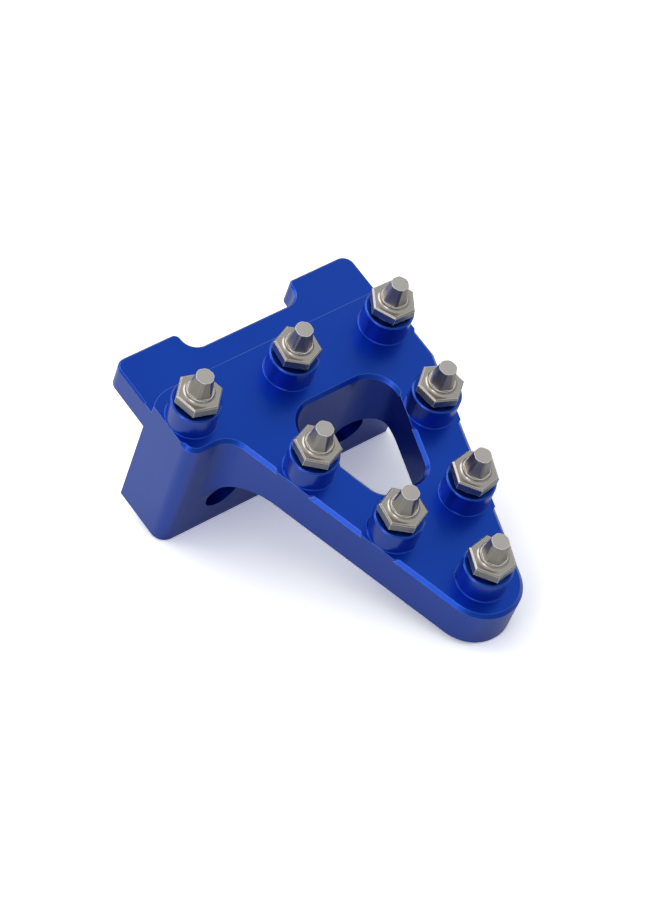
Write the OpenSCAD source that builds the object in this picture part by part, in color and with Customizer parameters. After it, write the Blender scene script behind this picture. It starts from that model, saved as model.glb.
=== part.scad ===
// Brake pedal tip: a machined toe plate with a window, a mounting block and eight screwed-in grip studs.
// X runs across the tip, +Y points to the toe and +Z points out of the studs, in millimetres.
// The origin is midway between the two fixing holes, on the rear face of the mounting block.

/* [Mounting block] */
// Depth of the block from its rear face to its front face
block_d = 11.5; // [10.5:0.5:14]
// Height of the block from its underside to the top of the plate
block_h = 27.2; // [26:0.2:32]
// Distance between the axes of the two fixing holes
hole_pitch = 26.6; // [22:0.2:30]
// Diameter of the fixing holes
hole_d = 6.6; // [5:0.1:8]
// Height of the fixing holes above the underside of the block
hole_rise = 8; // [5:0.1:9]
// Radius of the front corner beside the shoulder
corner_r = 2.5; // [1:0.5:3.5]

/* [Rear ears] */
// Reach of the ears behind the rear face of the block
ear_reach = 10.3; // [9:0.1:14]
// Thickness of the ears
ear_t = 5; // [4:0.5:7]
// Drop from the top of the plate to the top of the ears
ear_drop = 1.8; // [1:0.1:3]
// Radius of the ears' outer corners
ear_r = 2; // [1:0.5:4]
// Radius of the ears' inner corners
ear_inner_r = 1.1; // [0.6:0.1:1.2]
// Width of the notch between the ears
notch_w = 23; // [16:0.5:28]
// Depth of the notch between the ears
notch_depth = 4.1; // [4.1:0.1:6]
// Radius of the notch's inner corners
notch_r = 2.9; // [1.5:0.1:2.9]
// Chamfer along the upper edges of the ears
ear_chamfer = 0.3; // [0.2:0.1:0.6]

/* [Toe plate] */
// Thickness of the toe plate
plate_t = 8; // [6:0.5:10]
// Sideways offset of the toe from the middle of the block
toe_shift = 4.3; // [3:0.1:5]
// Radius of the cove between the underside of the plate and the block
cove_r = 11; // [7:0.5:12]
// Radius of the inside corner between the shoulder and the toe
shoulder_r = 3.9; // [2:0.1:5]
// Chamfer along the upper edges of the plate and the window
plate_chamfer = 0.6; // [0.3:0.1:0.8]
// Distance that the chamfering cutter keeps from each boss
cutter_gap = 1.15; // [0.8:0.05:1.6]
// Distance from the first row of studs back to the step down to the ears
step_back = 6.2; // [5.8:0.1:7]

/* [Window] */
// Distance from the front of the block to the rear wall of the window
window_back = 0.6; // [0.4:0.1:2]
// Distance from the third row of studs back to the front wall of the window
window_front = 5.7; // [5:0.1:8]
// Radius of the window's rear corners
window_rear_r = 4.9; // [2:0.1:4.9]
// Radius of the window's front corners
window_front_r = 4; // [2:0.5:4]

/* [Stud layout] */
// Distance from the rear face of the block to the first row of studs
row_1_y = 5.2; // [5:0.1:6]
// Distance from the first row of studs to the second
row_2_gap = 17.2; // [16:0.1:19]
// Distance from the second row of studs to the third
row_3_gap = 16.3; // [15:0.1:18]
// Distance from the third row of studs to the stud at the toe
toe_gap = 14.3; // [13:0.1:17]
// Distance between neighbouring studs in the first row
row_1_pitch = 20; // [18:0.5:22]
// Distance between the two studs of the second row
row_2_pitch = 25.5; // [24:0.1:27]
// Distance between the two studs of the third row
row_3_pitch = 15; // [13:0.1:17]

/* [Bosses] */
// Diameter of the round boss under each stud
boss_d = 8.5; // [8:0.1:9]
// Height of the bosses above the plate
boss_h = 4.6; // [4:0.1:7]
// Chamfer round the top of each boss
boss_chamfer = 0.2; // [0.1:0.05:0.4]
// Fillet round the foot of each boss
boss_fillet = 0.2; // [0.1:0.05:0.6]
// Width of plate left between a boss and the edge beside it
edge_margin = 0.1; // [0.1:0.05:0.6]

/* [Studs] */
// Width of the stud's hexagon across its flats
hex_w = 7; // [6:0.1:7.2]
// Diameter of the round seat turned under the hexagon
seat_d = 5.8; // [5.6:0.1:6.4]
// Height of the round seat
seat_h = 0.6; // [0.3:0.1:1]
// Height of the hexagonal collar
collar_h = 2; // [1.5:0.1:3]
// Chamfer along the upper and lower edges of the hexagon
hex_chamfer = 0.25; // [0.1:0.05:0.4]
// Height of the spike above the collar
spike_h = 4.4; // [3:0.1:6]
// Width of the spike across its flats, at its foot
spike_foot_w = 4.2; // [3.6:0.1:5]
// Width of the spike across its flats, at its end
spike_end_w = 2.88; // [2:0.02:3.4]
// Diameter of the spike's end, which is turned nearly round
spike_end_d = 3; // [2.1:0.02:3.6]
// Rounding of the spike's six corners at its foot
spike_round = 0.12; // [0.05:0.01:0.2]
// Radius of the hollow fillet round the foot of the spike
foot_fillet = 0.6; // [0.2:0.05:0.7]
// Diameter of the threaded shank
shank_d = 5; // [4:0.5:6]
// Length of the threaded shank below the seat
shank_l = 9; // [6:0.5:11]
// Clearance between the shank and its hole, on the radius
shank_gap = 0.05; // [0.05:0.05:0.2]
// Depth of the stud hole past the end of the shank
hole_run_out = 1; // [0.5:0.5:1.5]

/* [Hidden] */

BLUE = [0.07, 0.2, 0.62];
STEEL = [0.72, 0.71, 0.69];

// Heights of the main surfaces
top_z = block_h - hole_rise;
bottom_z = -hole_rise;
ear_top = top_z - ear_drop;
ear_bottom = ear_top - ear_t;
under_z = top_z - plate_t;

// Places across the plate
boss_r = boss_d / 2;
wall_gap = boss_r + edge_margin;
half_w = row_1_pitch + wall_gap;
ear_y = -ear_reach;
notch_y = ear_y + notch_depth;
step_y = row_1_y - step_back;

// Rows of studs
row_2_y = row_1_y + row_2_gap;
row_3_y = row_2_y + row_3_gap;
toe_y = row_3_y + toe_gap;
toe_x = -toe_shift;
stud_places = [
    [row_1_pitch, row_1_y], [0, row_1_y], [-row_1_pitch, row_1_y],
    [toe_x + row_2_pitch / 2, row_2_y], [toe_x - row_2_pitch / 2, row_2_y],
    [toe_x + row_3_pitch / 2, row_3_y], [toe_x - row_3_pitch / 2, row_3_y],
    [toe_x, toe_y]
];
// Angle at which each hexagon stopped when its stud was tightened
stud_turns = [44, 22, 58, 20, 38, 22, 8, 8];

// The toe's side walls lie just outside the bosses of the second and third rows
taper = atan2((row_2_pitch - row_3_pitch) / 2, row_3_gap);
side_normal = [cos(taper), sin(taper)];
function toe_half(y) = row_2_pitch / 2 - (y - row_2_y) * tan(taper) + wall_gap / cos(taper);
function window_half(y) = toe_half(y) - 2 * wall_gap / cos(taper);
toe_r = toe_half(toe_y) * cos(taper);
// Where the toe's far side wall meets the side of the block
side_corner_y = row_2_y + (row_2_pitch / 2 + wall_gap / cos(taper) - half_w - toe_x) / tan(taper);

// Centre of the inside corner between the shoulder and the toe
shoulder_y = block_d + shoulder_r;
shoulder_x = toe_x + toe_half(shoulder_y) + shoulder_r / cos(taper);

// Centres of the window's rear and front corners, from the toe's middle line
window_y = block_d + window_back;
window_end_y = row_3_y - window_front;
rear_c = [window_half(window_y + window_rear_r) - window_rear_r / cos(taper), window_y + window_rear_r];
front_c = [window_half(window_end_y - window_front_r) - window_front_r / cos(taper),
    window_end_y - window_front_r];

// How far each cutter reaches past the surface that it cuts
reach = 1;
// Overlap of neighbouring cuts, and how much deeper a round chamfer is cut than a straight one, so that
// their faces never just touch
lap = 0.05;
seam = 0.01;

// What rounding an outside corner removes: sx and sy say which way the corner points
module corner_bit(at, r, sx, sy) {
    centre = [at[0] - sx * r, at[1] - sy * r];
    difference() {
        translate([min(centre[0], at[0] + sx * reach), min(centre[1], at[1] + sy * reach)]) square(r + reach);
        translate(centre) circle(r, $fn = 64);
    }
}

// Cutter for a straight chamfer, walked from a to b with the material on the left
module straight_chamfer(a, b, size) {
    run = b - a;
    translate([a[0], a[1], 0]) rotate([0, 0, atan2(run[1], run[0])])
        translate([-lap, 0, 0]) rotate([90, 0, 90]) linear_extrude(norm(run) + 2 * lap)
            polygon([[-reach, -size - reach], [size + reach, reach], [-reach, reach]]);
}

// Cutter for a chamfer round a corner of radius r; side is 1 with the material inside the round, or -1
module round_chamfer(at, r, start, end, size, side) {
    deep = size + seam;
    past = min(reach, 0.8 * (r - deep));
    translate([at[0], at[1], 0]) rotate([0, 0, start])
        rotate_extrude(angle = end - start, $fn = 96)
            polygon([[r + side * past, -deep - past], [r + side * past, past],
                [r - side * (deep + past), past]]);
}

// Plan of the mounting block
module block_plan() {
    difference() {
        translate([-half_w, 0]) square([2 * half_w, block_d]);
        corner_bit([half_w, block_d], corner_r, 1, 1);
    }
}

// Plan of the ears and the notch between them, carried on to the middle of the block
module ear_plan() {
    difference() {
        translate([-half_w, ear_y]) square([2 * half_w, row_1_y - ear_y]);
        for (side = [-1, 1]) {
            corner_bit([side * half_w, ear_y], ear_r, side, -1);
            corner_bit([side * notch_w / 2, ear_y], ear_inner_r, -side, -1);
        }
        difference() {
            translate([-notch_w / 2, ear_y - reach]) square([notch_w, notch_depth + reach]);
            for (side = [-1, 1]) corner_bit([side * notch_w / 2, notch_y], notch_r, side, 1);
        }
    }
}

// Plan of what is cut away above the ears: it runs straight across, then round the end boss
module step_plan() {
    difference() {
        translate([-half_w - reach, ear_y - reach]) square([2 * (half_w + reach), row_1_y - ear_y + reach]);
        translate([-half_w - 2 * reach, step_y])
            square([row_1_pitch + half_w + 2 * reach, row_1_y - step_y + reach]);
        translate([row_1_pitch, row_1_y]) circle(step_back, $fn = 96);
    }
}

// Plan of the toe: two walls that run in to a round end
module toe_plan() {
    wall = toe_half(row_1_y);
    end = toe_r * side_normal;
    intersection() {
        union() {
            polygon([[toe_x - wall, row_1_y], [toe_x + wall, row_1_y],
                [toe_x + end[0], toe_y + end[1]], [toe_x - end[0], toe_y + end[1]]]);
            translate([toe_x, toe_y]) circle(toe_r, $fn = 128);
        }
        translate([-half_w, 0]) square([2 * half_w, toe_y + toe_r + reach]);
    }
    inner = (shoulder_r + reach) * side_normal;
    difference() {
        polygon([[toe_x, row_1_y], [shoulder_x, row_1_y], [shoulder_x, shoulder_y],
            [shoulder_x - inner[0], shoulder_y - inner[1]], [toe_x, shoulder_y - inner[1]]]);
        translate([shoulder_x, shoulder_y]) circle(shoulder_r, $fn = 96);
    }
}

// Plan of the window, whose side walls pass just inside the bosses of the second row
module window_plan() {
    rear = window_rear_r * side_normal;
    front = window_front_r * side_normal;
    translate([toe_x, 0]) {
        polygon([[-rear_c[0], window_y], [rear_c[0], window_y], [rear_c[0] + rear[0], rear_c[1] + rear[1]],
            [front_c[0] + front[0], front_c[1] + front[1]], [front_c[0], window_end_y],
            [-front_c[0], window_end_y], [-front_c[0] - front[0], front_c[1] + front[1]],
            [-rear_c[0] - rear[0], rear_c[1] + rear[1]]]);
        for (side = [-1, 1]) {
            translate([side * rear_c[0], rear_c[1]]) circle(window_rear_r, $fn = 96);
            translate([side * front_c[0], front_c[1]]) circle(window_front_r, $fn = 96);
        }
    }
}

// Block, ears and the raised land behind the first row of studs
module rear_mass() {
    difference() {
        union() {
            translate([0, 0, bottom_z]) linear_extrude(block_h) block_plan();
            translate([0, 0, ear_bottom]) linear_extrude(top_z - ear_bottom) ear_plan();
        }
        translate([0, 0, ear_top]) linear_extrude(ear_drop + reach) step_plan();
    }
}

// Toe plate with the cove that carries it on the block
module toe_mass() {
    cove_y = block_d + cove_r;
    cove_z = under_z - cove_r;
    difference() {
        translate([0, 0, cove_z]) linear_extrude(plate_t + cove_r) toe_plan();
        translate([-half_w - reach, 0, 0]) rotate([90, 0, 90]) linear_extrude(2 * (half_w + reach)) difference() {
            translate([block_d, cove_z - reach]) square([toe_y + toe_r - block_d + reach, cove_r + reach]);
            difference() {
                translate([block_d - reach, cove_z - 2 * reach]) square([cove_r + reach, cove_r + 3 * reach]);
                translate([cove_y, cove_z]) circle(cove_r, $fn = 160);
                translate([block_d, cove_z - 3 * reach]) square([cove_r + 2 * reach, 3 * reach]);
            }
        }
    }
}

// Round bosses with a fillet at the foot, kept within the plan of the plate
module bosses() {
    intersection() {
        for (place = stud_places) translate([place[0], place[1], top_z]) rotate_extrude($fn = 96) difference() {
            polygon([[0, -reach], [boss_r + boss_fillet, -reach], [boss_r + boss_fillet, boss_fillet],
                [boss_r, boss_fillet], [boss_r, boss_h - boss_chamfer], [boss_r - boss_chamfer, boss_h],
                [0, boss_h]]);
            translate([boss_r + boss_fillet, boss_fillet]) circle(boss_fillet, $fn = 48);
        }
        translate([0, 0, top_z - 2 * reach]) linear_extrude(boss_h + 3 * reach) {
            block_plan();
            toe_plan();
        }
    }
}

// Blind holes for the stud shanks, with the cone that the drill leaves
module stud_holes() {
    hole_r = shank_d / 2 + shank_gap;
    hole_l = shank_l + hole_run_out;
    cone_h = hole_r * tan(31);
    for (place = stud_places) translate([place[0], place[1], top_z + boss_h - hole_l]) {
        cylinder(r = hole_r, h = hole_l + reach, $fn = 64);
        translate([0, 0, -cone_h]) cylinder(r1 = 0, r2 = hole_r, h = cone_h + lap, $fn = 64);
    }
}

// Chamfer along the outline of the plate, from one end boss round the toe to the other
module outline_chamfer() {
    size = plate_chamfer;
    end = toe_r * side_normal;
    toe_tangent = [toe_x + end[0], toe_y + end[1]];
    far_tangent = [toe_x - end[0], toe_y + end[1]];
    inside = [shoulder_x - shoulder_r * side_normal[0], shoulder_y - shoulder_r * side_normal[1]];
    straight_chamfer([half_w, row_1_y], [half_w, block_d - corner_r], size);
    round_chamfer([half_w - corner_r, block_d - corner_r], corner_r, 0, 90, size, 1);
    straight_chamfer([half_w - corner_r, block_d], [shoulder_x, block_d], size);
    round_chamfer([shoulder_x, shoulder_y], shoulder_r, 180 + taper, 270, size, -1);
    straight_chamfer(inside, toe_tangent, size);
    round_chamfer([toe_x, toe_y], toe_r, taper, 180 - taper, size, 1);
    straight_chamfer(far_tangent, [-half_w, side_corner_y], size);
    straight_chamfer([-half_w, side_corner_y], [-half_w, row_1_y], size);
}

// Chamfer along the window's upper edge
module window_chamfer() {
    size = plate_chamfer;
    rear = window_rear_r * side_normal;
    front = window_front_r * side_normal;
    translate([toe_x, 0, 0]) {
        straight_chamfer([rear_c[0], window_y], [-rear_c[0], window_y], size);
        straight_chamfer([-rear_c[0] - rear[0], rear_c[1] + rear[1]],
            [-front_c[0] - front[0], front_c[1] + front[1]], size);
        straight_chamfer([-front_c[0], window_end_y], [front_c[0], window_end_y], size);
        straight_chamfer([front_c[0] + front[0], front_c[1] + front[1]],
            [rear_c[0] + rear[0], rear_c[1] + rear[1]], size);
        round_chamfer([-rear_c[0], rear_c[1]], window_rear_r, 180 - taper, 270, size, -1);
        round_chamfer(rear_c, window_rear_r, 270, 360 + taper, size, -1);
        round_chamfer(front_c, window_front_r, taper, 90, size, -1);
        round_chamfer([-front_c[0], front_c[1]], window_front_r, 90, 180 - taper, size, -1);
    }
}

// Chamfer along the upper edges of the ears; it stops short of the step up to the plate
module ear_edge_chamfer() {
    size = ear_chamfer;
    side_end = row_1_y - step_back - size;
    notch_c = [notch_w / 2 - notch_r, notch_y - notch_r];
    mouth_c = [notch_w / 2 + ear_inner_r, ear_y + ear_inner_r];
    straight_chamfer([-half_w, side_end], [-half_w, ear_y + ear_r], size);
    round_chamfer([-half_w + ear_r, ear_y + ear_r], ear_r, 180, 270, size, 1);
    straight_chamfer([-half_w + ear_r, ear_y], [-mouth_c[0], ear_y], size);
    round_chamfer([-mouth_c[0], mouth_c[1]], ear_inner_r, 270, 360, size, 1);
    straight_chamfer([-notch_w / 2, mouth_c[1]], [-notch_w / 2, notch_c[1]], size);
    round_chamfer([-notch_c[0], notch_c[1]], notch_r, 90, 180, size, -1);
    straight_chamfer([-notch_c[0], notch_y], [notch_c[0], notch_y], size);
    round_chamfer(notch_c, notch_r, 0, 90, size, -1);
    straight_chamfer([notch_w / 2, notch_c[1]], [notch_w / 2, mouth_c[1]], size);
    round_chamfer(mouth_c, ear_inner_r, 180, 270, size, 1);
    straight_chamfer([mouth_c[0], ear_y], [half_w - ear_r, ear_y], size);
    round_chamfer([half_w - ear_r, ear_y + ear_r], ear_r, 270, 360, size, 1);
    straight_chamfer([half_w, ear_y + ear_r], [half_w, side_end], size);
}

// The plate's chamfers break off beside each boss, where the cutter would touch it
module plate_chamfers() {
    difference() {
        translate([0, 0, top_z]) {
            outline_chamfer();
            window_chamfer();
        }
        for (place = stud_places) translate([place[0], place[1], top_z - 2 * reach])
            cylinder(r = boss_r + cutter_gap, h = 4 * reach, $fn = 96);
    }
}

module body() {
    color(BLUE) difference() {
        union() {
            rear_mass();
            toe_mass();
            bosses();
        }
        translate([0, 0, bottom_z - reach]) linear_extrude(block_h + 2 * reach) window_plan();
        for (side = [-1, 1]) translate([side * hole_pitch / 2, -reach, 0]) rotate([-90, 0, 0])
            cylinder(d = hole_d, h = block_d + 2 * reach, $fn = 96);
        stud_holes();
        plate_chamfers();
        translate([0, 0, ear_top]) ear_edge_chamfer();
    }
}

// Six-sided solid whose flats follow one side profile, given as points from the axis out and up
module six_sided(profile, width) {
    mirrored = [for (i = [len(profile) - 1:-1:0]) [-profile[i][0], profile[i][1]]];
    intersection_for(turn = [0, 60, 120]) rotate([0, 0, turn]) rotate([90, 0, 0])
        translate([0, 0, -width]) linear_extrude(2 * width) polygon(concat(profile, mirrored));
}

// One stud, standing on its boss: threaded shank, round seat, hexagonal collar and spike
module stud(i) {
    translate([stud_places[i][0], stud_places[i][1], top_z + boss_h]) rotate([0, 0, stud_turns[i] - 30])
        color(STEEL) {
            translate([0, 0, -shank_l]) cylinder(d = shank_d, h = shank_l + reach, $fn = 64);
            cylinder(d = seat_d, h = seat_h + reach, $fn = 64);
            translate([0, 0, seat_h]) six_sided([[hex_w / 2 - hex_chamfer, 0], [hex_w / 2, hex_chamfer],
                [hex_w / 2, collar_h - hex_chamfer], [hex_w / 2 - hex_chamfer, collar_h]], hex_w);
            translate([0, 0, seat_h + collar_h]) spike();
        }
}

// The blunt spike on the collar, with a fillet round its foot: six-sided there and nearly round at its end
module spike() {
    foot_r = spike_foot_w / 2 / cos(30) - spike_round;
    rotate_extrude($fn = 64) difference() {
        translate([0, -lap]) square([foot_r + foot_fillet, foot_fillet + lap]);
        translate([foot_r + foot_fillet, foot_fillet]) circle(foot_fillet, $fn = 48);
    }
    intersection() {
        translate([0, 0, -reach]) six_sided([[spike_foot_w / 2, 0], [spike_foot_w / 2, reach],
            [spike_end_w / 2, reach + spike_h]], spike_foot_w);
        union() {
            cylinder(r1 = foot_r, r2 = spike_end_d / 2, h = spike_h, $fn = 64);
            translate([0, 0, -reach / 2]) cylinder(r = foot_r, h = reach / 2 + lap, $fn = 64);
        }
    }
}

body();
for (i = [0:7]) stud(i);
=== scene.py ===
"""Looks of a brake pedal tip: blue anodised aluminium with stainless grip studs, on a pale studio floor."""

import math

import bpy
from mathutils import Matrix, Vector


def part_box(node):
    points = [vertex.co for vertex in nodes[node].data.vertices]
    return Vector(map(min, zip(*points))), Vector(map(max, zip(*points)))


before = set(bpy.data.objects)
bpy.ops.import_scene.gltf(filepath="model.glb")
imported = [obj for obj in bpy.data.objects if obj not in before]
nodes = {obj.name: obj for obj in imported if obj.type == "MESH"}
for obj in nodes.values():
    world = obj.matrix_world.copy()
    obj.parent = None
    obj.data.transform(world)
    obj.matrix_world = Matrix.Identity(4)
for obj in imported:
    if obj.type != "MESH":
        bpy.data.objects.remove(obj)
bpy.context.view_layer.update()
MM = 0.001

# The photograph's frame and the camera that was fitted to it, in the frame of the part
IMAGE_W, IMAGE_H = 660, 900
OPTICAL_CENTRE = (330, 446)
FOCAL_PIXELS = 3479.0
SENSOR = 36.0
CAMERA_DISTANCE = 0.5642
CAMERA_TARGET = Vector((2.75, 20.64, 19.2)) * MM
CAMERA_AZIMUTH = 55.23
CAMERA_ELEVATION = 53.88
CAMERA_ROLL = 22.86

# The tip leans forward on the lower front edge of its block and on the end of its toe
BLOCK_EDGE = Vector((0, 11.5, -8.0)) * MM
TOE_EDGE = Vector((0, 60.3, 11.2)) * MM

# Brightness of the dome at the floor's horizon and overhead
DOME_LEVELS = (0.36, 0.74)

# Radius of the spike at its foot, where the collar begins
SPIKE_FOOT_R = 2.3 * MM

# Colours, as linear values
ANODISED = (0.004, 0.059, 0.47)
ANODISED_PALE = (0.007, 0.074, 0.54)
# The pale blue edge colour is partly dye worn thin on sharp edges and partly a painted highlight
ANODISED_EDGE_WEAR_HIGHLIGHT = (0.08, 0.22, 0.8)
STAINLESS = (0.57, 0.535, 0.5)
# The near-white steel edge colour is a painted highlight
STAINLESS_EDGE_HIGHLIGHT = (1.0, 0.98, 0.95)
# Darker colours for the stud's upright flats, its collar and its spike's sides: painted shade
STAINLESS_FLATS_SHADE = (0.34, 0.32, 0.29)
STAINLESS_COLLAR_SHADE = (0.44, 0.41, 0.37)
STAINLESS_SIDES_SHADE = (0.4, 0.355, 0.3)


def socket(group, name, kind, way, value=None):
    made = group.interface.new_socket(name=name, in_out=way, socket_type=kind)
    if value is not None:
        made.default_value = value
    return made


class Wiring:
    """Adds nodes to one node tree and joins them."""

    def __init__(self, tree):
        self.tree = tree

    def add(self, kind, inputs=None, **settings):
        node = self.tree.nodes.new(kind)
        for key, value in settings.items():
            setattr(node, key, value)
        for key, value in (inputs or {}).items():
            self.feed(node.inputs[key], value)
        return node

    def feed(self, target, value):
        if isinstance(value, bpy.types.NodeSocket):
            self.tree.links.new(value, target)
        else:
            target.default_value = value

    def sum(self, operation, a, b=0.0, c=0.0):
        return self.add("ShaderNodeMath", {0: a, 1: b, 2: c}, operation=operation).outputs[0]

    def ramp(self, value, low, high, to_low=0.0, to_high=1.0):
        node = self.add("ShaderNodeMapRange", {"Value": value, "From Min": low, "From Max": high,
                                               "To Min": to_low, "To Max": to_high})
        return node.outputs["Result"]


def milling_marks():
    """Fine straight cutter lines with a little grain: Height for a bump, and a Mask that shifts tone."""
    group = bpy.data.node_groups.new("milling_marks", "ShaderNodeTree")
    socket(group, "Pitch", "NodeSocketFloat", "INPUT", 0.0004)
    socket(group, "Heading", "NodeSocketFloat", "INPUT", 0.0)
    socket(group, "Grain Size", "NodeSocketFloat", "INPUT", 0.0002)
    socket(group, "Height", "NodeSocketFloat", "OUTPUT")
    socket(group, "Mask", "NodeSocketFloat", "OUTPUT")
    w = Wiring(group)
    given = w.add("NodeGroupInput")
    result = w.add("NodeGroupOutput")
    place = w.add("ShaderNodeTexCoord").outputs["Object"]
    turned = w.add("ShaderNodeVectorRotate", {"Vector": place, "Angle": given.outputs["Heading"]},
                   rotation_type="Z_AXIS")
    part = w.add("ShaderNodeSeparateXYZ", {"Vector": turned.outputs["Vector"]})
    lines = w.sum("DIVIDE", part.outputs["X"], given.outputs["Pitch"])
    uneven = w.add("ShaderNodeTexNoise", {"W": lines, "Scale": 1.0, "Detail": 2.0, "Roughness": 0.6},
                   noise_dimensions="1D")
    inverse = w.sum("DIVIDE", 1.0, given.outputs["Grain Size"])
    grain = w.add("ShaderNodeTexNoise", {"Vector": place, "Scale": inverse, "Detail": 2.0, "Roughness": 0.5})
    both = w.add("ShaderNodeMix", {"Factor": 0.5, "A": uneven.outputs["Fac"], "B": grain.outputs["Fac"]})
    w.feed(result.inputs["Height"], both.outputs["Result"])
    w.feed(result.inputs["Mask"], uneven.outputs["Fac"])
    return group


def dye_variation():
    """Slow, weak drift of the anodising dye over the part, as a Mask from 0 to 1."""
    group = bpy.data.node_groups.new("dye_variation", "ShaderNodeTree")
    socket(group, "Patch Size", "NodeSocketFloat", "INPUT", 0.02)
    socket(group, "Mask", "NodeSocketFloat", "OUTPUT")
    w = Wiring(group)
    given = w.add("NodeGroupInput")
    result = w.add("NodeGroupOutput")
    place = w.add("ShaderNodeTexCoord").outputs["Object"]
    inverse = w.sum("DIVIDE", 1.0, given.outputs["Patch Size"])
    cloud = w.add("ShaderNodeTexNoise", {"Vector": place, "Scale": inverse, "Detail": 2.0, "Roughness": 0.45})
    w.feed(result.inputs["Mask"], w.ramp(cloud.outputs["Fac"], 0.3, 0.7))
    return group


def turning_marks():
    """Rings left by turning about an upright axis, as a Height, and the Radius from it. Centre lies on the axis."""
    group = bpy.data.node_groups.new("turning_marks", "ShaderNodeTree")
    socket(group, "Centre", "NodeSocketVector", "INPUT")
    socket(group, "Pitch", "NodeSocketFloat", "INPUT", 0.0001)
    socket(group, "Height", "NodeSocketFloat", "OUTPUT")
    socket(group, "Radius", "NodeSocketFloat", "OUTPUT")
    w = Wiring(group)
    given = w.add("NodeGroupInput")
    result = w.add("NodeGroupOutput")
    place = w.add("ShaderNodeTexCoord").outputs["Object"]
    offset = w.add("ShaderNodeVectorMath", {0: place, 1: given.outputs["Centre"]}, operation="SUBTRACT")
    flat = w.add("ShaderNodeVectorMath", {0: offset.outputs["Vector"], 1: (1.0, 1.0, 0.0)}, operation="MULTIPLY")
    radius = w.add("ShaderNodeVectorMath", {0: flat.outputs["Vector"]}, operation="LENGTH").outputs["Value"]
    height = w.add("ShaderNodeSeparateXYZ", {"Vector": offset.outputs["Vector"]}).outputs["Z"]
    along = w.sum("DIVIDE", w.sum("ADD", radius, height), given.outputs["Pitch"])
    rings = w.add("ShaderNodeTexNoise", {"W": along, "Scale": 1.0, "Detail": 2.0, "Roughness": 0.6},
                  noise_dimensions="1D")
    w.feed(result.inputs["Height"], rings.outputs["Fac"])
    w.feed(result.inputs["Radius"], radius)
    return group


def edge_wear_and_highlight():
    """Sharp edges, where a finish is thinner and a painted highlight is laid: a Mask that is 1 on the edge and 0 on
    open faces.
    """
    group = bpy.data.node_groups.new("edge_wear_and_highlight", "ShaderNodeTree")
    socket(group, "Width", "NodeSocketFloat", "INPUT", 0.00015)
    socket(group, "Mask", "NodeSocketFloat", "OUTPUT")
    w = Wiring(group)
    given = w.add("NodeGroupInput")
    result = w.add("NodeGroupOutput")
    plain = w.add("ShaderNodeNewGeometry").outputs["Normal"]
    rounded = w.add("ShaderNodeBevel", {"Radius": given.outputs["Width"]}, samples=8).outputs["Normal"]
    match = w.add("ShaderNodeVectorMath", {0: plain, 1: rounded}, operation="DOT_PRODUCT").outputs["Value"]
    w.feed(result.inputs["Mask"], w.ramp(match, 0.995, 0.9))
    return group


def upright_faces():
    """The stud's flats stand square to its turned end, its spike leans a little: a Mask for Flats and one for Sides, by
    which they are coloured darker as painted shade.
    """
    group = bpy.data.node_groups.new("upright_faces", "ShaderNodeTree")
    socket(group, "Flats", "NodeSocketFloat", "OUTPUT")
    socket(group, "Sides", "NodeSocketFloat", "OUTPUT")
    w = Wiring(group)
    result = w.add("NodeGroupOutput")
    facing = w.add("ShaderNodeTexCoord").outputs["Normal"]
    level = w.sum("ABSOLUTE", w.add("ShaderNodeSeparateXYZ", {"Vector": facing}).outputs["Z"])
    w.feed(result.inputs["Flats"], w.ramp(level, 0.1, 0.03))
    w.feed(result.inputs["Sides"], w.ramp(level, 0.8, 0.5))
    return group


MILLING = milling_marks()
DYE = dye_variation()
TURNING = turning_marks()
EDGE_WEAR_AND_HIGHLIGHT = edge_wear_and_highlight()
UPRIGHT = upright_faces()


def new_material(name):
    made = bpy.data.materials.new(name)
    made.use_nodes = True
    made.node_tree.nodes.clear()
    return made, Wiring(made.node_tree)


def placed(w, group, **inputs):
    node = w.add("ShaderNodeGroup", node_tree=group)
    for key, value in inputs.items():
        w.feed(node.inputs[key.replace("_", " ")], value)
    return node


def anodised_aluminium():
    """Blue dyed oxide over fine-milled aluminium: a tinted metal under a clear, satin skin, with edges paler from worn
    dye and a painted highlight.
    """
    made, w = new_material("anodised_aluminium")
    marks = placed(w, MILLING, Pitch=0.00035, Heading=math.radians(18), Grain_Size=0.00016)
    dye = placed(w, DYE, Patch_Size=0.018)
    edges = placed(w, EDGE_WEAR_AND_HIGHLIGHT, Width=0.0002)
    open_face = w.add("ShaderNodeMix", {"Factor": w.sum("MULTIPLY", dye.outputs["Mask"], 0.35),
                                        "A": (*ANODISED, 1), "B": (*ANODISED_PALE, 1)}, data_type="RGBA")
    # Edges take a paler blue: partly dye worn thin on sharp edges, partly a painted highlight
    colour = w.add("ShaderNodeMix", {"Factor": w.sum("MULTIPLY", edges.outputs["Mask"], 0.75),
                                     "A": open_face.outputs["Result"], "B": (*ANODISED_EDGE_WEAR_HIGHLIGHT, 1)}, data_type="RGBA")
    rough = w.ramp(marks.outputs["Mask"], 0.3, 0.7, 0.34, 0.37)
    slant = w.add("ShaderNodeLayerWeight", {"Blend": 0.5}).outputs["Facing"]
    gloss = w.sum("MAXIMUM", w.ramp(slant, 0.2, 0.5, 0.1, 0.62), w.sum("MULTIPLY", edges.outputs["Mask"], 0.9))
    rounded = w.add("ShaderNodeBevel", {"Radius": 0.12 * MM}, samples=6)
    bump = w.add("ShaderNodeBump", {"Strength": 0.03, "Distance": 0.00002, "Height": marks.outputs["Height"],
                                    "Normal": rounded.outputs["Normal"]})
    skin = w.add("ShaderNodeBsdfPrincipled", {
        "Base Color": colour.outputs["Result"], "Metallic": 1.0, "Roughness": rough,
        "Coat Weight": gloss, "Coat Roughness": 0.16, "Coat IOR": 1.9,
        "Normal": bump.outputs["Normal"]})
    out = w.add("ShaderNodeOutputMaterial")
    w.feed(out.inputs["Surface"], skin.outputs["BSDF"])
    return made


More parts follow.
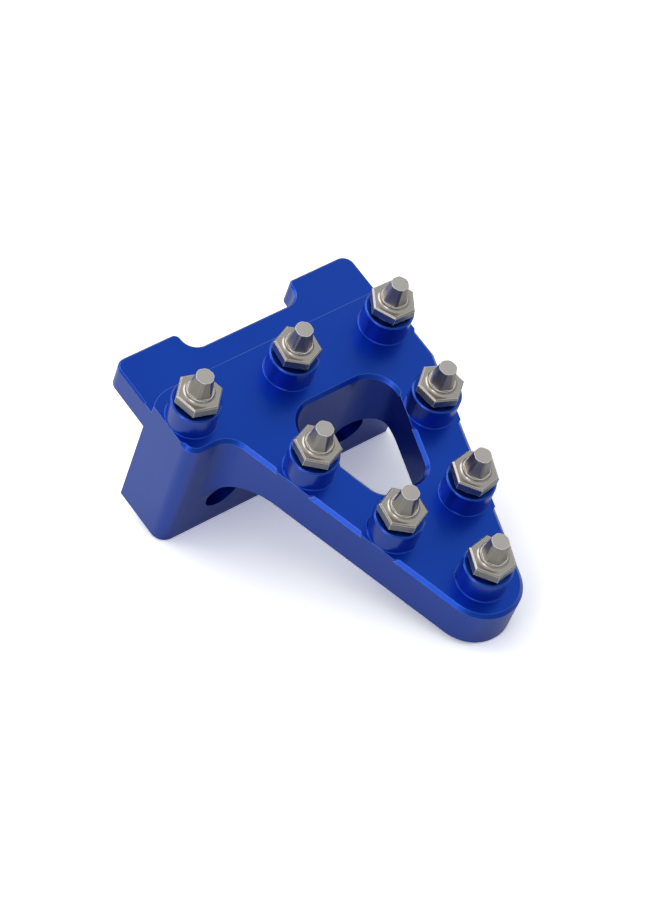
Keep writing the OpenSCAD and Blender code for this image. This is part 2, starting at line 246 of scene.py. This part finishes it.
def stainless_steel(name, axis_point):
    """Turned and milled stainless, with rings about the stud's own axis, painted shade on its collar, flats and sides,
    and painted highlights on its edges.
    """
    made, w = new_material(name)
    rings = placed(w, TURNING, Centre=tuple(axis_point), Pitch=0.00012)
    patches = placed(w, DYE, Patch_Size=0.0025)
    edges = placed(w, EDGE_WEAR_AND_HIGHLIGHT, Width=0.00018)
    open_face = w.add("ShaderNodeMix", {"Factor": w.sum("MULTIPLY", patches.outputs["Mask"], 0.3),
                                        "A": (*STAINLESS, 1), "B": (*[c * 0.8 for c in STAINLESS], 1)},
                      data_type="RGBA")
    # Painted shade: the collar round the spike's foot is coloured darker than the turned end
    collar_shade = w.ramp(rings.outputs["Radius"], SPIKE_FOOT_R, SPIKE_FOOT_R + 0.5 * MM)
    collar = w.add("ShaderNodeMix", {"Factor": collar_shade, "A": open_face.outputs["Result"],
                                     "B": (*STAINLESS_COLLAR_SHADE, 1)}, data_type="RGBA")
    upright = placed(w, UPRIGHT)
    # Painted shade: the spike's leaning sides and the upright flats are coloured darker
    sides = w.add("ShaderNodeMix", {"Factor": upright.outputs["Sides"], "A": collar.outputs["Result"],
                                    "B": (*STAINLESS_SIDES_SHADE, 1)}, data_type="RGBA")
    flats = w.add("ShaderNodeMix", {"Factor": upright.outputs["Flats"], "A": sides.outputs["Result"],
                                    "B": (*STAINLESS_FLATS_SHADE, 1)}, data_type="RGBA")
    # Painted highlight: sharp edges are coloured near white
    colour = w.add("ShaderNodeMix", {"Factor": w.sum("MULTIPLY", edges.outputs["Mask"], 1.0),
                                     "A": flats.outputs["Result"], "B": (*STAINLESS_EDGE_HIGHLIGHT, 1)}, data_type="RGBA")
    rounded = w.add("ShaderNodeBevel", {"Radius": 0.1 * MM}, samples=6)
    bump = w.add("ShaderNodeBump", {"Strength": 0.12, "Distance": 0.00003, "Height": rings.outputs["Height"],
                                    "Normal": rounded.outputs["Normal"]})
    rough = w.sum("MULTIPLY_ADD", upright.outputs["Sides"], 0.13, w.ramp(rings.outputs["Height"], 0.3, 0.7, 0.18, 0.25))
    rough = w.sum("MULTIPLY_ADD", edges.outputs["Mask"], 0.4, rough)
    metal = w.add("ShaderNodeBsdfPrincipled", {
        "Base Color": colour.outputs["Result"], "Metallic": 1.0, "Roughness": rough,
        "Normal": bump.outputs["Normal"]})
    out = w.add("ShaderNodeOutputMaterial")
    w.feed(out.inputs["Surface"], metal.outputs["BSDF"])
    return made


def finish_with(node, material):
    node.data.materials.clear()
    node.data.materials.append(material)


def look_at(spot, target, up):
    """Rotation and place for a lamp or camera at spot that faces target."""
    back = (spot - target).normalized()
    right = up.cross(back).normalized()
    above = back.cross(right)
    turn = Matrix((right, above, back)).transposed().to_4x4()
    return Matrix.Translation(spot) @ turn


def make_camera():
    azimuth, elevation = math.radians(CAMERA_AZIMUTH), math.radians(CAMERA_ELEVATION)
    towards = Vector((math.cos(elevation) * math.sin(azimuth), math.cos(elevation) * math.cos(azimuth),
                      math.sin(elevation)))
    data = bpy.data.cameras.new("photo_camera")
    camera = bpy.data.objects.new("photo_camera", data)
    bpy.context.scene.collection.objects.link(camera)
    camera.matrix_world = (look_at(CAMERA_TARGET + towards * CAMERA_DISTANCE, CAMERA_TARGET, Vector((0, 0, 1)))
                           @ Matrix.Rotation(math.radians(CAMERA_ROLL), 4, "Z"))
    data.sensor_width = SENSOR
    data.lens = FOCAL_PIXELS * SENSOR / IMAGE_H
    data.shift_x = (IMAGE_W / 2 - OPTICAL_CENTRE[0]) / IMAGE_H
    data.shift_y = (OPTICAL_CENTRE[1] - IMAGE_H / 2) / IMAGE_H
    data.clip_start = 0.01
    bpy.context.scene.camera = camera
    return camera


def floor_axes():
    """The floor's own directions: across, forwards and up."""
    forwards = (TOE_EDGE - BLOCK_EDGE).normalized()
    across = Vector((1, 0, 0))
    return across, forwards, across.cross(forwards).normalized()


def make_floor():
    across, forwards, up = floor_axes()
    half = 1.2
    mesh = bpy.data.meshes.new("studio_floor")
    corners = [BLOCK_EDGE + across * a * half + forwards * b * half for a, b in ((-1, -1), (1, -1), (1, 1), (-1, 1))]
    mesh.from_pydata([tuple(c) for c in corners], [], [(0, 1, 2, 3)])
    floor = bpy.data.objects.new("studio_floor", mesh)
    bpy.context.scene.collection.objects.link(floor)
    made, w = new_material("white_paper")
    seen = w.add("ShaderNodeBsdfDiffuse", {"Color": (0.71, 0.71, 0.695, 1)})
    twice = w.add("ShaderNodeAddShader", {0: seen.outputs[0], 1: seen.outputs[0]})
    glow = w.add("ShaderNodeEmission", {"Color": (0.92, 0.94, 1.0, 1), "Strength": 0.17})
    lifted = w.add("ShaderNodeAddShader", {0: twice.outputs[0], 1: glow.outputs[0]})
    mirrored = w.add("ShaderNodeBsdfDiffuse", {"Color": (0.62, 0.67, 0.7, 1)})
    path = w.add("ShaderNodeLightPath")
    paper = w.add("ShaderNodeMixShader", {0: path.outputs["Is Camera Ray"], 1: mirrored.outputs[0],
                                          2: lifted.outputs[0]})
    out = w.add("ShaderNodeOutputMaterial")
    w.feed(out.inputs["Surface"], paper.outputs["Shader"])
    mesh.materials.append(made)
    return floor


def make_lamp(name, direction, distance, size, strength):
    """A soft box; direction is given in the floor's own axes."""
    across, forwards, up = floor_axes()
    towards = (across * direction[0] + forwards * direction[1] + up * direction[2]).normalized()
    data = bpy.data.lights.new(name, "AREA")
    data.shape = "RECTANGLE"
    data.size, data.size_y = size
    data.energy = strength
    lamp = bpy.data.objects.new(name, data)
    bpy.context.scene.collection.objects.link(lamp)
    lamp.matrix_world = look_at(CAMERA_TARGET + towards * distance, CAMERA_TARGET, up)
    return lamp


def make_world():
    """A pale dome, dimmer towards the floor's horizon; the camera itself sees plain white."""
    world = bpy.data.worlds.new("studio")
    bpy.context.scene.world = world
    world.use_nodes = True
    world.node_tree.nodes.clear()
    w = Wiring(world.node_tree)
    up = floor_axes()[2]
    way = w.add("ShaderNodeTexCoord").outputs["Generated"]
    height = w.add("ShaderNodeVectorMath", {0: way, 1: tuple(up)}, operation="DOT_PRODUCT").outputs["Value"]
    path = w.add("ShaderNodeLightPath")
    shown = w.add("ShaderNodeBackground", {"Color": (1, 1, 1, 1), "Strength": 1.0})
    dome = w.add("ShaderNodeBackground", {"Color": (0.97, 0.98, 1.0, 1),
                                          "Strength": w.ramp(height, 0.05, 0.6, *DOME_LEVELS)})
    mix = w.add("ShaderNodeMixShader", {0: path.outputs["Is Camera Ray"], 1: dome.outputs[0], 2: shown.outputs[0]})
    out = w.add("ShaderNodeOutputWorld")
    w.feed(out.inputs["Surface"], mix.outputs[0])


finish_with(nodes["body"], anodised_aluminium())
for name, node in nodes.items():
    if name.startswith("stud_"):
        low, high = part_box(name)
        finish_with(node, stainless_steel("stainless_" + name, (low + high) / 2))

make_camera()
make_floor()
make_world()
make_lamp("high_softbox", (0.3, -0.6, 0.85), 1.0, (0.9, 0.8), 3.2)
make_lamp("edge_strip", (0.822, 0.286, 0.494), 0.8, (0.1, 0.45), 0.32)
make_lamp("left_softbox", (0.82, 0.35, 0.6), 0.7, (0.4, 0.5), 0.4)

bpy.context.scene.view_settings.view_transform = "Standard"
